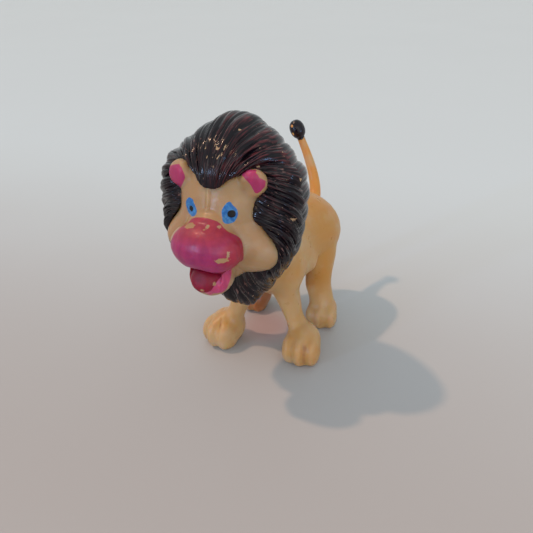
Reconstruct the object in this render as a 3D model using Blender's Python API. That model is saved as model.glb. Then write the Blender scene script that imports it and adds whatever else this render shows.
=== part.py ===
"""Toy lion figure: body, turning head, mane and tail.

Metres, +Z up. The lion looks along -Y and its own left side is +X. The origin is on the ground,
under the middle of the figure's box. Run with blender --background --python part.py.
"""
import bpy
import bmesh
import math
from mathutils import Matrix, Vector

MM = 0.001

# Clearances, and the overrun that every cutter has past what it cuts
GAP = 0.3 * MM
OVERRUN = 1.0 * MM

# Grain of the sculpted skins
BODY_GRAIN = 0.42 * MM
HEAD_GRAIN = 0.36 * MM
SKIN_SMOOTH_STEPS = 8
SKIN_SMOOTH_SHARE = 0.5
STATION_STEPS = 3
BODY_FACES_SHARE = 0.058
HEAD_FACES_SHARE = 0.055
ROUND_SIDES = 24
TURNED_SIDES = 32

# Trunk, from the chest to the rump
TRUNK_LENGTH = 30.4 * MM
TRUNK_HEIGHT = 18.5 * MM
TRUNK_WIDTH = 19.6 * MM
TRUNK_BELLY_HEIGHT = 12.2 * MM
CHEST_FORWARD = 9.5 * MM
# Each station: place along the trunk, half width, belly and back, as shares of the trunk
TRUNK_STATION_SHARES = (
    (0.00, 0.40, 0.34, 0.78),
    (0.07, 0.62, 0.20, 0.90),
    (0.20, 0.86, 0.10, 0.97),
    (0.38, 0.78, 0.09, 0.98),
    (0.55, 0.88, 0.06, 0.98),
    (0.72, 0.98, 0.00, 0.97),
    (0.85, 0.94, 0.03, 0.90),
    (0.94, 0.73, 0.14, 0.79),
    (1.00, 0.40, 0.32, 0.64),
)

# Legs: the paws' places, and each leg's girths from the trunk down to the ankle
FRONT_TRACK = 18.0 * MM
REAR_TRACK = 17.1 * MM
REAR_SIDESTEP = 0.7 * MM
FRONT_PAW_FORWARD = 5.4 * MM
REAR_PAW_BACK = 9.3 * MM
FRONT_STAGGER = 0.8 * MM
PAW_TURN = math.radians(11.0)
FRONT_RIGHT_TURN = math.radians(20.0)
FRONT_SIDESTEP = 0.15 * MM
FRONT_LEG_GIRTH = 7.0 * MM
REAR_LEG_GIRTH = 7.0 * MM
FRONT_LEG_TOP = 21.0 * MM
REAR_LEG_TOP = 20.0 * MM
SHOULDER_INSET = 4.6 * MM
HIP_INSET = 2.4 * MM
SHOULDER_SETBACK = 2.2 * MM
HIP_SETBACK = 2.8 * MM
# Each station: height, half girth across and along, and how far it has come out and forward
# from the trunk to the paw, as shares of the leg's own sizes
FRONT_LEG_STATION_SHARES = (
    (1.14, 0.16, 0.22, 0.00, 0.00),
    (1.07, 0.44, 0.54, 0.00, 0.00),
    (0.96, 0.59, 0.71, 0.00, 0.00),
    (0.80, 0.58, 0.64, 0.03, 0.00),
    (0.62, 0.41, 0.46, 0.11, 0.08),
    (0.48, 0.30, 0.39, 0.28, 0.18),
    (0.38, 0.28, 0.38, 0.48, 0.28),
    (0.28, 0.33, 0.42, 0.75, 0.50),
    (0.18, 0.36, 0.40, 0.94, 0.90),
)
REAR_LEG_STATION_SHARES = (
    (1.12, 0.14, 0.30, 0.00, 0.00),
    (1.05, 0.38, 0.66, 0.00, 0.00),
    (0.94, 0.51, 0.84, 0.05, 0.05),
    (0.80, 0.52, 0.75, 0.17, 0.17),
    (0.64, 0.43, 0.48, 0.38, 0.52),
    (0.48, 0.38, 0.41, 0.50, 0.70),
    (0.36, 0.38, 0.41, 0.72, 0.78),
    (0.20, 0.42, 0.42, 1.00, 1.00),
)

# Paws: a pad with three toes
FRONT_PAW_WIDTH = 8.5 * MM
FRONT_PAW_LENGTH = 10.4 * MM
FRONT_PAW_HEIGHT = 8.2 * MM
REAR_PAW_WIDTH = 7.5 * MM
REAR_PAW_LENGTH = 9.0 * MM
REAR_PAW_HEIGHT = 6.8 * MM
# Pad and toes: place across, along and up, then half sizes, as shares of width, length, height
PAW_LUMP_SHARES = (
    ((0.00, 0.05, 0.44), (0.45, 0.42, 0.52)),
    ((0.00, -0.22, 0.36), (0.19, 0.29, 0.46)),
    ((0.28, -0.15, 0.34), (0.21, 0.29, 0.43)),
    ((-0.28, -0.15, 0.34), (0.21, 0.29, 0.43)),
)

# Neck: the axis that the head turns about, leaning forward, and the seat that the mane rides on
NECK_FORWARD = 5.4 * MM
NECK_HEIGHT = 26.0 * MM
NECK_LEAN = math.radians(50.0)
NECK_RADIUS = 7.6 * MM
NECK_ROOT_RADIUS = 8.6 * MM
NECK_SPARE = 2.0 * MM
NECK_LENGTH = 13.0 * MM
SEAT_FLAT_RADIUS = 7.0 * MM
SEAT_SLOPE = math.radians(30.0)
# Snap-in neck post of the head, and the socket for it in the body
POST_RADIUS = 2.8 * MM
POST_DEPTH = 8.0 * MM
LATCH_RADIUS = 3.5 * MM
LATCH_LENGTH = 2.2 * MM

# Head: a pear, narrow at the temples and wide at the cheeks, and the lumps of the face, all as
# shares of half its width, depth and height
SKULL_WIDTH = 19.6 * MM
SKULL_DEPTH = 19.2 * MM
SKULL_HEIGHT = 22.0 * MM
HEAD_FORWARD = 13.4 * MM
HEAD_HEIGHT = 39.0 * MM
# Each station: height, half width, and where its sides, front and back lie along the head
HEAD_STATION_SHARES = (
    (0.995, 0.10, 0.02, -0.10, 0.13),
    (0.93, 0.34, 0.01, -0.33, 0.34),
    (0.78, 0.63, -0.02, -0.62, 0.61),
    (0.58, 0.83, -0.06, -0.81, 0.82),
    (0.36, 0.88, -0.12, -0.93, 0.95),
    (0.15, 0.87, -0.20, -0.99, 1.00),
    (-0.06, 0.90, -0.28, -1.01, 0.99),
    (-0.24, 1.01, -0.42, -1.02, 0.95),
    (-0.42, 1.13, -0.54, -1.03, 0.88),
    (-0.58, 1.17, -0.58, -1.01, 0.78),
    (-0.75, 1.11, -0.56, -0.94, 0.62),
    (-0.89, 0.97, -0.50, -0.80, 0.47),
    (-1.01, 0.72, -0.43, -0.66, 0.26),
    (-1.08, 0.38, -0.38, -0.51, 0.05),
)
HEAD_FRONT_FULLNESS = 2.4
HEAD_BACK_FULLNESS = 1.6
FACE_LUMP_SHARES = (
    ((0.00, -1.15, -0.41), (0.70, 0.47, 0.42)),
    ((0.00, -0.97, -0.22), (0.50, 0.31, 0.36)),
    ((0.00, -0.50, -0.85), (0.50, 0.50, 0.38)),
    ((0.00, -1.02, -0.96), (0.42, 0.44, 0.35)),
)
# Ears: thick discs that look outwards a little, with flat faces
EAR_PLACE_SHARES = (0.775, -0.74, 0.59)
EAR_RADIUS = 2.45 * MM
EAR_THICKNESS = 2.6 * MM
EAR_ROUNDING = 0.7 * MM
EAR_TURN = math.radians(24.0)
MOUTH_SHARES = ((0.00, -1.34, -0.88), (0.34, 0.40, 0.26))
TONGUE_SHARES = ((0.00, -1.15, -0.96), (0.31, 0.38, 0.24))

# Mane: seen from in front, angles run from the forelock down to the beard. Each key: angle in
# degrees, hairline as a share of half the skull width, hair depth as a share of HAIR_DEPTH, and
# how far forward the hairline and the widest ring lie, as shares of half the skull depth
HAIR_DEPTH = 11.3 * MM
HAIR_CENTRE_DROP = 3.0 * MM
MANE_REAR = 13.4 * MM
NAPE_LEANNESS_SHARE = 0.6
MANE_KEY_SHARES = (
    (0.0, 0.88, 0.84, 0.90, -0.20),
    (9.0, 0.91, 0.75, 0.88, -0.20),
    (16.0, 1.06, 0.57, 0.80, -0.18),
    (22.0, 1.19, 0.41, 0.70, -0.15),
    (32.0, 1.24, 0.33, 0.56, -0.08),
    (42.0, 1.18, 0.36, 0.54, 0.03),
    (52.0, 0.97, 0.56, 0.64, 0.09),
    (64.0, 0.85, 0.58, 0.72, 0.13),
    (80.0, 0.94, 0.38, 0.66, 0.16),
    (98.0, 1.15, 0.13, 0.62, 0.18),
    (112.0, 1.21, 0.08, 0.60, 0.15),
    (122.0, 1.17, 0.11, 0.62, 0.15),
    (133.0, 1.07, 0.24, 0.62, 0.12),
    (147.0, 0.98, 0.38, 0.58, 0.05),
    (160.0, 0.94, 0.59, 0.50, -0.02),
    (180.0, 0.94, 0.90, 0.42, -0.05),
)
MANE_FRONT_RINGS = 8
MANE_BACK_RINGS = 7
MANE_LIP = 0.5 * MM
MANE_LIP_DEPTH = 2.6 * MM
MANE_CORE_DEPTH_SHARE = 0.1
# Locks of hair: how many ridges go round, the points across each, their height, how far they
# sweep round from the hairline to the widest ring, and how they vary and fade
LOCKS = 24
LOCK_SIDES = 4
LOCK_HEIGHT = 0.75 * MM
LOCK_SWEEP = math.radians(42.0)
LOCK_BIAS_SHARE = 0.4
LOCK_BLUNTNESS_SHARE = 0.7
LOCK_LEVEL_SHARE = 0.45
LOCK_FADE_SHARE = 0.9
LOCK_RIM_SHARE = 0.25
LOCK_RISE_SHARE = 0.35
MANE_PROBE_SHARE = 0.01

# Tail: its middle leaves the rump backwards, turns up and leans over to the lion's right
TAIL_ROOT_INSET = 1.2 * MM
TAIL_ROOT_BACK = TRUNK_LENGTH - CHEST_FORWARD - TAIL_ROOT_INSET
TAIL_ROOT_HEIGHT = 23.6 * MM
TAIL_REACH = 6.8 * MM
TAIL_RISE = 13.4 * MM
TAIL_SIDE_LEAN = 5.2 * MM
TAIL_REACH_BEND = 0.55
TAIL_RISE_BEND = 1.35
TAIL_LEAN_BEND = 1.6
TAIL_TAPER_BEND = 1.5
TAIL_ROOT_GIRTH = 2.75 * MM
TAIL_TIP_GIRTH = 1.75 * MM
TAIL_PIN_GIRTH = 1.9 * MM
TAIL_PIN_LENGTH = 4.4 * MM
TAIL_PIN_DROP = math.radians(8.0)
TAIL_SEAT_REACH = 1.6 * MM
TUFT_LENGTH = 4.5 * MM
TUFT_WIDTH = 3.6 * MM
TAIL_STEPS = 16
TUFT_STEPS = 8
TAIL_SIDES = 16

# Finishes: colour, roughness and metallic value
CREAM = ((0.60, 0.36, 0.16, 1.0), 0.38, 0.0)
HAIR_BROWN = ((0.022, 0.011, 0.010, 1.0), 0.22, 0.0)


def clear_scene():
    for thing in list(bpy.data.objects):
        bpy.data.objects.remove(thing, do_unlink=True)


def finish(name, values):
    colour, roughness, metallic = values
    material = bpy.data.materials.new(name)
    material.use_nodes = True
    shader = material.node_tree.nodes["Principled BSDF"]
    shader.inputs["Base Color"].default_value = colour
    shader.inputs["Roughness"].default_value = roughness
    shader.inputs["Metallic"].default_value = metallic
    return material


def add_object(name, bm, material=None, parent=None):
    """An object from a bmesh that holds world places, under its parent where it has one."""
    bmesh.ops.recalc_face_normals(bm, faces=bm.faces[:])
    if parent:
        bm.transform(parent.matrix_world.inverted())
    mesh = bpy.data.meshes.new(name)
    bm.to_mesh(mesh)
    bm.free()
    mesh.shade_smooth()
    thing = bpy.data.objects.new(name, mesh)
    bpy.context.scene.collection.objects.link(thing)
    if material:
        mesh.materials.append(material)
    if parent:
        thing.parent = parent
    return thing


def guide(thing):
    thing.hide_render = True
    thing.display_type = "WIRE"
    return thing


def lump(bm, centre, half, turn=0.0):
    """An ellipsoid, turned about the vertical."""
    place = (Matrix.Translation(centre) @ Matrix.Rotation(turn, 4, "Z")
             @ Matrix.Diagonal((*half, 1.0)))
    bmesh.ops.create_uvsphere(bm, u_segments=ROUND_SIDES, v_segments=ROUND_SIDES // 2,
                              radius=1.0, matrix=place)


def fine_stations(stations):
    """Stations between the given ones, on smooth curves through each of their values."""
    last = len(stations) - 1
    fine = []
    for k in range(last):
        before, after = stations[max(k - 1, 0)], stations[min(k + 2, last)]
        for i in range(STATION_STEPS):
            t = i / STATION_STEPS
            fine.append(tuple(
                b + t * (c - a) / 2.0 + t * t * (a - 2.5 * b + 2.0 * c - d / 2.0)
                + t ** 3 * (3.0 * (b - c) + d - a) / 2.0
                for a, b, c, d in zip(before, stations[k], stations[k + 1], after)))
    return fine + [stations[last]]


def skin_stations(bm, rings):
    """A closed skin over rings, with flat ends."""
    ends = [sum(ring, Vector()) / len(ring) for ring in (rings[0], rings[-1])]
    skin_rings(bm, rings, *ends)


def skin_rings(bm, rings, first, last):
    """A closed skin over rings of points that run from one end point to the other."""
    start, end = bm.verts.new(first), bm.verts.new(last)
    rows = [[bm.verts.new(point) for point in ring] for ring in rings]
    count = len(rows[0])
    for i in range(count):
        j = (i + 1) % count
        bm.faces.new((start, rows[0][i], rows[0][j]))
        bm.faces.new((end, rows[-1][j], rows[-1][i]))
        for lower, upper in zip(rows, rows[1:]):
            bm.faces.new((lower[j], lower[i], upper[i], upper[j]))


def oval(centre, across, along, count=ROUND_SIDES):
    """Points of an ellipse about centre, between two half axes."""
    turns = [2.0 * math.pi * i / count for i in range(count)]
    return [centre + across * math.cos(t) + along * math.sin(t) for t in turns]


def turned(bm, profile, matrix):
    """A solid turned about local Z from (radius, height) pairs that start and end on the axis."""
    rings = [[matrix @ Vector((radius * math.cos(t), radius * math.sin(t), height))
              for t in [2.0 * math.pi * i / TURNED_SIDES for i in range(TURNED_SIDES)]]
             for radius, height in profile[1:-1]]
    skin_rings(bm, rings, matrix @ Vector((0.0, 0.0, profile[0][1])),
               matrix @ Vector((0.0, 0.0, profile[-1][1])))


def sculpt(thing, grain, faces_share):
    """Fuse the overlapping lumps into one skin, soften the creases and thin the facets."""
    fuse = thing.modifiers.new("fuse", "REMESH")
    fuse.mode = "VOXEL"
    fuse.voxel_size = grain
    soften = thing.modifiers.new("soften", "SMOOTH")
    soften.factor = SKIN_SMOOTH_SHARE
    soften.iterations = SKIN_SMOOTH_STEPS
    thin = thing.modifiers.new("thin", "DECIMATE")
    thin.ratio = faces_share


def grown(tool):
    """A cutter that is larger than the piece it makes room for, by the gap."""
    grow = tool.modifiers.new("grow", "DISPLACE")
    grow.strength = GAP
    grow.mid_level = 0.0
    return guide(tool)


def cut(thing, tool, operation="DIFFERENCE"):
    change = thing.modifiers.new(tool.name, "BOOLEAN")
    change.operation = operation
    change.object = tool
    change.solver = "EXACT"
    change.use_self = tool.modifiers.get("grow") is not None


def key_value(keys, column, angle):
    """A smooth curve through one column of the mane's keys, even on both sides."""
    angle = min(abs(angle), keys[-1][0])
    spans = list(zip(keys, keys[1:]))
    index = next(i for i, (a, b) in enumerate(spans) if angle <= b[0])
    below, above = spans[index]
    width = above[0] - below[0]
    t = (angle - below[0]) / width

    def slope(i):
        if i == 0 or i == len(keys) - 1:
            return 0.0
        return (keys[i + 1][column] - keys[i - 1][column]) / (keys[i + 1][0] - keys[i - 1][0])

    rise = above[column] - below[column]
    first, second = slope(index) * width, slope(index + 1) * width
    return (below[column] + first * t + (3.0 * rise - 2.0 * first - second) * t * t
            + (first + second - 2.0 * rise) * t ** 3)


def neck_matrix():
    """Local Z along the neck, from the body into the head; local Y towards the nape."""
    place = Matrix.Translation((0.0, -NECK_FORWARD, NECK_HEIGHT))
    return place @ Matrix.Rotation(NECK_LEAN, 4, "X")


def seat_profile(lift, end):
    """Outline of all that lies between the seat, raised by lift, and a far end on its axis."""
    reach = SKULL_WIDTH / 2.0 + HAIR_DEPTH
    drop = (reach - SEAT_FLAT_RADIUS) * math.tan(SEAT_SLOPE)
    return [(0.0, lift), (SEAT_FLAT_RADIUS, lift), (reach, lift - drop), (reach, end), (0.0, end)]


def head_side(name, lift):
    """Everything on the head's side of the seat."""
    bm = bmesh.new()
    turned(bm, seat_profile(lift, TRUNK_LENGTH), neck_matrix())
    return guide(add_object(name, bm))


def body_side(name, lift):
    """Everything on the body's side of the seat."""
    bm = bmesh.new()
    turned(bm, seat_profile(lift, -TRUNK_LENGTH), neck_matrix())
    return guide(add_object(name, bm))


def post_root():
    """How far up the neck's axis the skull's middle lies, which the post runs up to."""
    return (neck_matrix().inverted() @ skull_place((0.0, 0.0, 0.0))).z


def post_profile(spare, root):
    """The neck post with its latch, grown by spare, from its end in the body up to root."""
    radius, latch = POST_RADIUS + spare, LATCH_RADIUS + spare
    end = -POST_DEPTH - spare
    return [(0.0, end), (radius, end), (latch, end + LATCH_LENGTH / 2.0),
            (latch, end + LATCH_LENGTH + spare), (radius, end + LATCH_LENGTH * 1.5 + spare),
            (radius, root), (0.0, root)]


def trunk(bm):
    rings = []
    for along, width, belly, back in fine_stations(TRUNK_STATION_SHARES):
        low = TRUNK_BELLY_HEIGHT + belly * TRUNK_HEIGHT
        high = TRUNK_BELLY_HEIGHT + back * TRUNK_HEIGHT
        centre = Vector((0.0, along * TRUNK_LENGTH - CHEST_FORWARD, (low + high) / 2.0))
        rings.append(oval(centre, Vector((width * TRUNK_WIDTH / 2.0, 0.0, 0.0)),
                          Vector((0.0, 0.0, (high - low) / 2.0))))
    skin_stations(bm, rings)


def leg(bm, paw, inset, setback, top, girth, shares, turn=0.0):
    """One leg, swung out and forward from the trunk to its paw, with its sections turned."""
    side = math.copysign(1.0, paw.x)
    spin = Matrix.Rotation(turn, 3, "Z")
    rings = []
    for height, across, along, out, forward in fine_stations(shares):
        centre = paw + Vector((-side * inset * (1.0 - out), setback * (1.0 - forward), height * top))
        rings.append(oval(centre, spin @ Vector((across * girth, 0.0, 0.0)),
                          spin @ Vector((0.0, along * girth, 0.0))))
    skin_stations(bm, rings)


def paw_lumps(bm, paw, width, length, height, turn):
    """Pad and toes of one paw, all turned about the vertical."""
    spin = Matrix.Rotation(turn, 3, "Z")
    for place, half in PAW_LUMP_SHARES:
        offset = spin @ Vector((place[0] * width, place[1] * length, place[2] * height))
        lump(bm, paw + offset, (half[0] * width, half[1] * length, half[2] * height), turn)


def make_body(material):
    bm = bmesh.new()
    trunk(bm)
    neck = [(0.0, -NECK_LENGTH), (NECK_ROOT_RADIUS, -NECK_LENGTH), (NECK_RADIUS, NECK_SPARE),
            (0.0, NECK_SPARE)]
    turned(bm, neck, neck_matrix())
    for side in (-1.0, 1.0):
        front = Vector((side * FRONT_TRACK / 2.0 + FRONT_SIDESTEP,
                        side * FRONT_STAGGER - FRONT_PAW_FORWARD, 0.0))
        rear = Vector((side * REAR_TRACK / 2.0 - REAR_SIDESTEP, REAR_PAW_BACK, 0.0))
        front_turn = PAW_TURN if side > 0.0 else -FRONT_RIGHT_TURN
        leg(bm, front, SHOULDER_INSET, SHOULDER_SETBACK, FRONT_LEG_TOP, FRONT_LEG_GIRTH,
            FRONT_LEG_STATION_SHARES, front_turn)
        leg(bm, rear, HIP_INSET, HIP_SETBACK, REAR_LEG_TOP, REAR_LEG_GIRTH,
            REAR_LEG_STATION_SHARES)
        paw_lumps(bm, front, FRONT_PAW_WIDTH, FRONT_PAW_LENGTH, FRONT_PAW_HEIGHT, front_turn)
        paw_lumps(bm, rear, REAR_PAW_WIDTH, REAR_PAW_LENGTH, REAR_PAW_HEIGHT, side * PAW_TURN)
    body = add_object("body", bm, material)
    sculpt(body, BODY_GRAIN, BODY_FACES_SHARE)
    cut(body, ground_cutter())
    bore = bmesh.new()
    turned(bore, bore_profile(), tail_matrix())
    cut(body, guide(add_object("tail_bore", bore)))
    cut(body, head_side("head_side", 0.0))
    socket = bmesh.new()
    turned(socket, post_profile(GAP, OVERRUN), neck_matrix())
    cut(body, guide(add_object("neck_socket", socket)))


def ground_cutter():
    bm = bmesh.new()
    size = 2.0 * TRUNK_LENGTH
    bmesh.ops.create_cube(bm, size=size, matrix=Matrix.Translation((0.0, 0.0, -size / 2.0)))
    return guide(add_object("ground_cutter", bm))


def skull_place(shares, side=1.0):
    return Vector((side * shares[0] * SKULL_WIDTH / 2.0, shares[1] * SKULL_DEPTH / 2.0 - HEAD_FORWARD,
                   shares[2] * SKULL_HEIGHT / 2.0 + HEAD_HEIGHT))


def skull_half(shares):
    return (shares[0] * SKULL_WIDTH / 2.0, shares[1] * SKULL_DEPTH / 2.0,
            shares[2] * SKULL_HEIGHT / 2.0)


def pear(bm):
    """Skull and cheeks as one loft, fuller in front than an oval and leaner at the back."""
    rings = []
    for height, width, middle, front, back in fine_stations(HEAD_STATION_SHARES):
        ring = []
        for i in range(2 * ROUND_SIDES):
            turn = math.pi * i / ROUND_SIDES
            rear = math.sin(turn) > 0.0
            power = 2.0 / (HEAD_BACK_FULLNESS if rear else HEAD_FRONT_FULLNESS)
            across = math.copysign(abs(math.cos(turn)) ** power, math.cos(turn))
            reach = (back if rear else front) - middle
            along = middle + reach * abs(math.sin(turn)) ** power
            ring.append(skull_place((width * across, along, height)))
        rings.append(ring)
    skin_stations(bm, rings)


def ear(bm, side):
    profile = [(0.0, 0.0), (EAR_RADIUS - EAR_ROUNDING, 0.0), (EAR_RADIUS, -EAR_ROUNDING),
               (EAR_RADIUS, EAR_ROUNDING - EAR_THICKNESS),
               (EAR_RADIUS - EAR_ROUNDING, -EAR_THICKNESS), (0.0, -EAR_THICKNESS)]
    turn = (Matrix.Rotation(side * EAR_TURN, 4, "Z") @ Matrix.Rotation(math.pi / 2.0, 4, "X"))
    turned(bm, profile, Matrix.Translation(skull_place(EAR_PLACE_SHARES, side)) @ turn)


def head_form(name, material=None, parent=None):
    bm = bmesh.new()
    pear(bm)
    for place, half in FACE_LUMP_SHARES:
        lump(bm, skull_place(place), skull_half(half))
    for side in (-1.0, 1.0):
        ear(bm, side)
    head = add_object(name, bm, material, parent)
    sculpt(head, HEAD_GRAIN, HEAD_FACES_SHARE)
    return head


def make_head(material, neck):
    head = head_form("head", material, neck)
    post = bmesh.new()
    turned(post, post_profile(0.0, post_root()), neck_matrix())
    cut(head, guide(add_object("post_form", post)), "UNION")
    mouth = bmesh.new()
    lump(mouth, skull_place(MOUTH_SHARES[0]), skull_half(MOUTH_SHARES[1]))
    cut(head, guide(add_object("mouth_cutter", mouth)))
    tongue = bmesh.new()
    lump(tongue, skull_place(TONGUE_SHARES[0]), skull_half(TONGUE_SHARES[1]))
    cut(head, guide(add_object("tongue_form", tongue)), "UNION")


def mane_point(angle, way):
    """A point of the smooth hair mass: way 0 is the hairline, 1 the widest ring, 2 the back."""
    degrees = math.degrees(math.atan2(math.sin(angle), math.cos(angle)))
    hairline = key_value(MANE_KEY_SHARES, 1, degrees) * SKULL_WIDTH / 2.0
    depth = key_value(MANE_KEY_SHARES, 2, degrees) * HAIR_DEPTH
    rim = -HEAD_FORWARD - key_value(MANE_KEY_SHARES, 3, degrees) * SKULL_DEPTH / 2.0
    wide = -HEAD_FORWARD - key_value(MANE_KEY_SHARES, 4, degrees) * SKULL_DEPTH / 2.0
    if way <= 1.0:
        turn = way * math.pi / 2.0
        radius = hairline + depth * math.sin(turn)
        back = rim + (wide - rim) * (1.0 - math.cos(turn))
    else:
        turn = (way - 1.0) * math.pi / 2.0
        radius = (hairline + depth) * math.cos(turn) ** (1.0 + NAPE_LEANNESS_SHARE * math.cos(turn))
        back = wide + (MANE_REAR - HEAD_FORWARD - wide) * math.sin(turn)
    return Vector((radius * math.sin(angle), back,
                   HEAD_HEIGHT - HAIR_CENTRE_DROP + radius * math.cos(angle)))


def strand_angle(column, way):
    """The angle of one column of points: strands gather at the forelock and end at the beard."""
    sweep = LOCK_SWEEP * (1.0 - LOCK_BIAS_SHARE * math.cos(column)) * math.sin(column)
    return column - sweep * max(1.0 - way, 0.0)


def lock_height(column, way):
    """Height of the sculpted locks over the smooth hair mass, fading towards the nape."""
    ridge = abs(math.sin(LOCKS * column / 2.0)) ** LOCK_BLUNTNESS_SHARE
    rise = min(1.0, LOCK_RIM_SHARE + way / LOCK_RISE_SHARE)
    fade = 1.0 - LOCK_FADE_SHARE * (way / 2.0) ** 2
    return LOCK_HEIGHT * rise * fade * (ridge - LOCK_LEVEL_SHARE)


def make_mane(material, neck):
    columns = [2.0 * math.pi * i / (LOCKS * LOCK_SIDES) for i in range(LOCKS * LOCK_SIDES)]
    ways = [i / MANE_FRONT_RINGS for i in range(MANE_FRONT_RINGS)]
    ways += [1.0 + i / MANE_BACK_RINGS for i in range(MANE_BACK_RINGS)]
    step = MANE_PROBE_SHARE
    rings = []
    for way in ways:
        ring = []
        for column in columns:
            angle = strand_angle(column, way)
            along = mane_point(angle, way + step) - mane_point(angle, max(way - step, 0.0))
            round_way = mane_point(angle + step, way) - mane_point(angle - step, way)
            outward = round_way.cross(along).normalized()
            ring.append(mane_point(angle, way) + outward * lock_height(column, way))
        rings.append(ring)
    inner = []
    for column in columns:
        rim = mane_point(strand_angle(column, 0.0), 0.0)
        centre = Vector((0.0, rim.y, HEAD_HEIGHT - HAIR_CENTRE_DROP))
        inward = (centre - rim).normalized()
        inner.append(rim + inward * MANE_LIP + Vector((0.0, MANE_LIP_DEPTH, 0.0)))
    core = Vector((0.0, -HEAD_FORWARD - MANE_CORE_DEPTH_SHARE * SKULL_DEPTH,
                   HEAD_HEIGHT - HAIR_CENTRE_DROP))
    bm = bmesh.new()
    skin_rings(bm, [inner] + rings, core, mane_point(0.0, 2.0))
    mane = add_object("mane", bm, material, neck)
    cut(mane, grown(head_form("head_recess")))
    cut(mane, body_side("body_side", GAP))
    hole = bmesh.new()
    radius = POST_RADIUS + GAP
    turned(hole, [(0.0, -OVERRUN), (radius, -OVERRUN), (radius, post_root()), (0.0, post_root())],
           neck_matrix())
    cut(mane, guide(add_object("post_hole", hole)))


def tail_point(way):
    """The middle of the tail: way 0 at the rump, 1 under the tuft."""
    reach = TAIL_REACH * math.sin(math.pi / 2.0 * way ** TAIL_REACH_BEND)
    return Vector((-TAIL_SIDE_LEAN * way ** TAIL_LEAN_BEND, TAIL_ROOT_BACK + reach,
                   TAIL_ROOT_HEIGHT + TAIL_RISE * way ** TAIL_RISE_BEND))


def tail_matrix():
    """Local Z along the tail's pin, out of the rump."""
    turn = Matrix.Rotation(TAIL_PIN_DROP - math.pi / 2.0, 4, "X")
    return Matrix.Translation(tail_point(0.0)) @ turn


def bore_profile():
    """The bore for the tail's pin, with a shallow seat for the end of the stem."""
    pin, stem = TAIL_PIN_GIRTH / 2.0 + GAP, TAIL_ROOT_GIRTH / 2.0 + GAP
    end = -TAIL_PIN_LENGTH - GAP
    return [(0.0, end), (pin, end), (pin, 0.0), (stem, 0.0), (stem, TAIL_SEAT_REACH),
            (0.0, TAIL_SEAT_REACH)]


def make_tail(material):
    """Pin, stem and tuft as one skin over round sections along the tail."""
    outward = tail_matrix().to_3x3() @ Vector((0.0, 0.0, 1.0))
    root = tail_point(0.0)
    stations = [(root - outward * TAIL_PIN_LENGTH, TAIL_PIN_GIRTH / 2.0),
                (root + outward * GAP / 2.0, TAIL_PIN_GIRTH / 2.0),
                (root + outward * GAP, TAIL_ROOT_GIRTH / 2.0)]
    for i in range(1, TAIL_STEPS + 1):
        way = i / TAIL_STEPS
        girth = TAIL_ROOT_GIRTH + (TAIL_TIP_GIRTH - TAIL_ROOT_GIRTH) * way ** TAIL_TAPER_BEND
        stations.append((tail_point(way), girth / 2.0))
    lean = (tail_point(1.0) - tail_point(1.0 - 1.0 / TAIL_STEPS)).normalized()
    for i in range(1, TUFT_STEPS):
        turn = math.pi * i / TUFT_STEPS
        stations.append((tail_point(1.0) + lean * TUFT_LENGTH * (1.0 - math.cos(turn)) / 2.0,
                         max(TUFT_WIDTH * math.sin(turn) ** 0.8, TAIL_TIP_GIRTH / 2.0) / 2.0))
    tip = tail_point(1.0) + lean * TUFT_LENGTH
    middles = [place for place, radius in stations] + [tip]
    side = Vector((1.0, 0.0, 0.0))
    rings = []
    for i, (place, radius) in enumerate(stations):
        ahead = (middles[i + 1] - middles[max(i - 1, 0)]).normalized()
        across = (side - ahead * side.dot(ahead)).normalized()
        rings.append(oval(place, across * radius, ahead.cross(across) * radius, TAIL_SIDES))
    bm = bmesh.new()
    skin_rings(bm, rings, middles[0], tip)
    add_object("tail", bm, material)


def main():
    clear_scene()
    cream = finish("cream_vinyl", CREAM)
    hair = finish("dark_hair_paint", HAIR_BROWN)
    neck = bpy.data.objects.new("neck_axis", None)
    neck.matrix_world = neck_matrix()
    bpy.context.scene.collection.objects.link(neck)
    bpy.context.view_layer.update()
    make_body(cream)
    make_head(cream, neck)
    make_mane(hair, neck)
    make_tail(cream)


main()
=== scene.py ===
"""Toy lion figure: close skins, sculpted hair, paint, wear, some painted light and shade, and a plain
studio.
"""
import math

import bmesh
import bpy
import numpy as np
from mathutils import Matrix, Vector


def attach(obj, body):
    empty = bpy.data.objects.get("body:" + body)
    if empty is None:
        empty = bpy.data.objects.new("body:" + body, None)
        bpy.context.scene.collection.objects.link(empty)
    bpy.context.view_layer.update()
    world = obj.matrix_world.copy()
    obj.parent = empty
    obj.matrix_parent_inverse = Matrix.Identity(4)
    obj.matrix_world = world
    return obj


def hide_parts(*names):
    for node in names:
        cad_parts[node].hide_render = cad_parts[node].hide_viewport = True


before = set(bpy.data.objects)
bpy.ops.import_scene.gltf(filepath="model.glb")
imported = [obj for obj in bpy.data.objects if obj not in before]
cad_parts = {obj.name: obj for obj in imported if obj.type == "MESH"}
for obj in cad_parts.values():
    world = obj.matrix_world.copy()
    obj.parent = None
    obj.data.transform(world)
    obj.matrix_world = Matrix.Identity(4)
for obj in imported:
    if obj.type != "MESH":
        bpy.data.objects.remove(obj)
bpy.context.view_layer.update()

MM = 0.001

# Camera of the photograph
IMAGE_SIZE = 533
FOCAL_PIXELS = 650.0
SENSOR = 36.0
CAMERA_PLACE = Vector((55.31, -106.64, 87.08)) * MM
CAMERA_AZIMUTH = math.radians(28.0)
CAMERA_DROP = math.radians(30.0)
CAMERA_ROLL = math.radians(-2.0)

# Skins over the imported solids: grain, rounds of smoothing, and rounds that tell hollows from hills
SKIN_GRAIN = {"body": 0.2 * MM, "head": 0.15 * MM, "tail": 0.15 * MM}
SKIN_ROUNDS = {"body": 24, "head": 22, "tail": 14}
HOLLOW_ROUNDS = 14

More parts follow.
